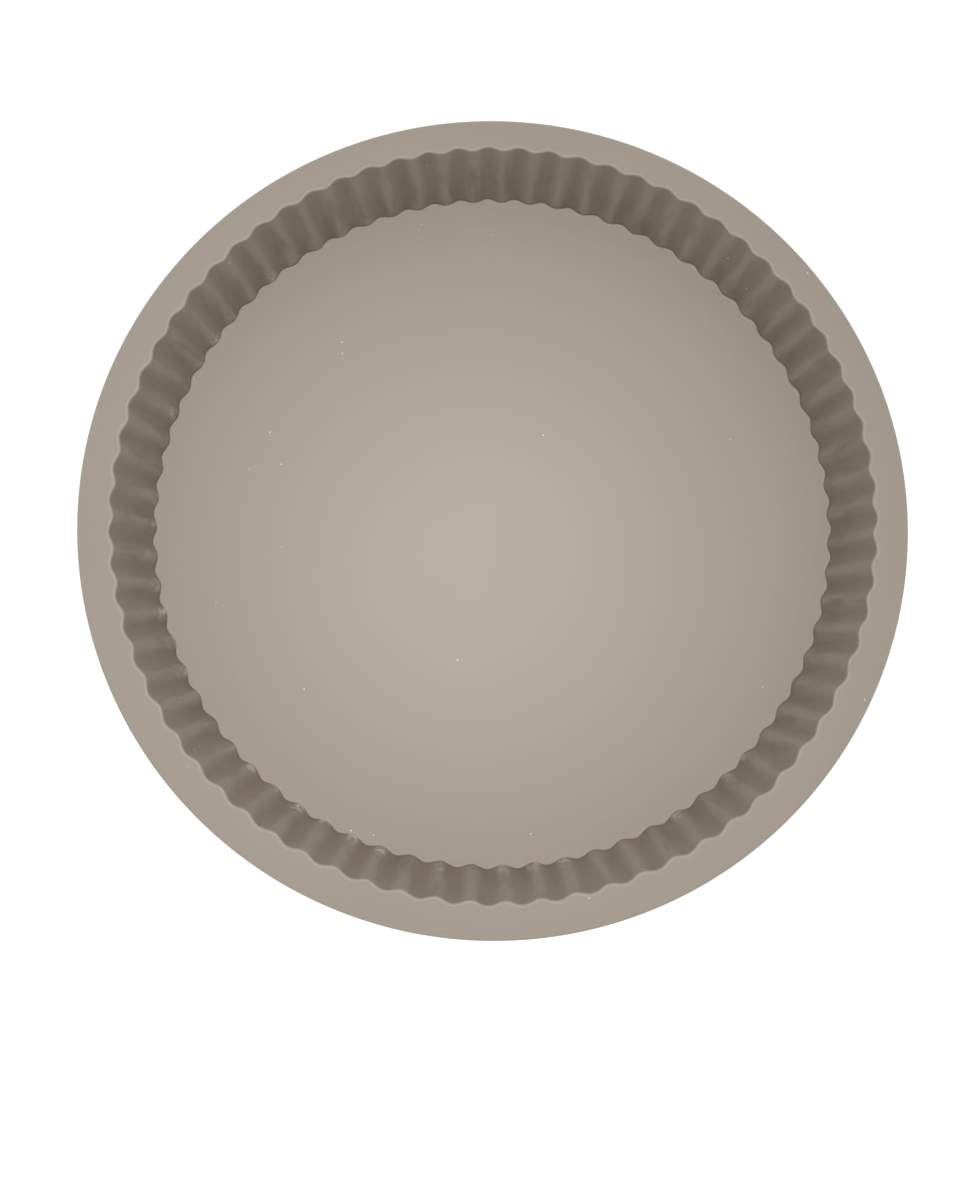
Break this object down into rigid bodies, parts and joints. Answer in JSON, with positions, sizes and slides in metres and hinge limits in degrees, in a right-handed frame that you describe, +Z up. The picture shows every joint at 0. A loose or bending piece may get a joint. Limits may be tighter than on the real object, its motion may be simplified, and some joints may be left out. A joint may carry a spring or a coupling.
{
  "type": "round fluted baking mould",
  "caption": "Shallow round baking mould in soft silicone: a flat floor, a fluted side wall with draft and a wide flat rim. Holds a tart, flan or cake while it bakes.",
  "frame": {"origin": "centre of the underside of the floor, on the surface that the mould stands on", "axes": "+Z up along the mould's own axis, out of its mouth; +X through the middle of one flute, where it stands furthest out"},
  "size_m": [0.285, 0.285, 0.03],
  "materials": {
    "silicone": "moulded silicone, warm grey, satin"
  },
  "bodies": {
    "root": {"floor": "silicone", "fluted_wall": "silicone", "rim": "silicone"}
  },
  "joints": []
}
